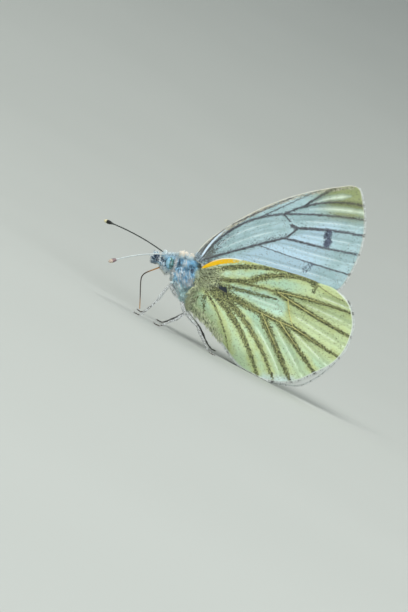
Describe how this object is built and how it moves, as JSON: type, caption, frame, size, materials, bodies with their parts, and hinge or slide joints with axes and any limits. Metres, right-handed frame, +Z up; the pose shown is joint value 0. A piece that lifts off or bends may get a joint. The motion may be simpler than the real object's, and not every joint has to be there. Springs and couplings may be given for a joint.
{
  "type": "green-veined white butterfly",
  "caption": "White butterfly standing with closed wings, grey-dusted veins on a pale yellow hindwing, clubbed antennae and a lowered proboscis.",
  "frame": {"origin": "on the floor, under the centre of the whole butterfly's box", "axes": "-X points the way the butterfly faces, +X to the rear of its wings, -Y to its own left side, +Z up"},
  "size_m": [0.0356, 0.0124, 0.0276],
  "materials": {
    "body_hair": "long pale blue-white hair over dark skin",
    "eye": "finely faceted, pale green with dark flecks",
    "antenna_scales": "fine dark and white rings, cream tip",
    "proboscis": "ringed horn, orange-brown",
    "leg_scales": "white scales over dark skin",
    "forewing_scales": "powdery scales, blue-white with grey veins",
    "hindwing_scales": "powdery scales, pale yellow-green with olive-grey dusted veins"
  },
  "bodies": {
    "root": {"abdomen": "body_hair", "antenna_left": "antenna_scales", "antenna_right": "antenna_scales", "eye_left": "eye", "eye_right": "eye", "forewing_left": "forewing_scales", "forewing_right": "forewing_scales", "head": "body_hair", "hindwing_left": "hindwing_scales", "hindwing_right": "hindwing_scales", "leg_front_left": "leg_scales", "leg_front_right": "leg_scales", "leg_hind_left": "leg_scales", "leg_hind_right": "leg_scales", "leg_mid_left": "leg_scales", "leg_mid_right": "leg_scales", "palp_left": "body_hair", "palp_right": "body_hair", "proboscis": "proboscis", "thorax": "body_hair"}
  },
  "joints": []
}
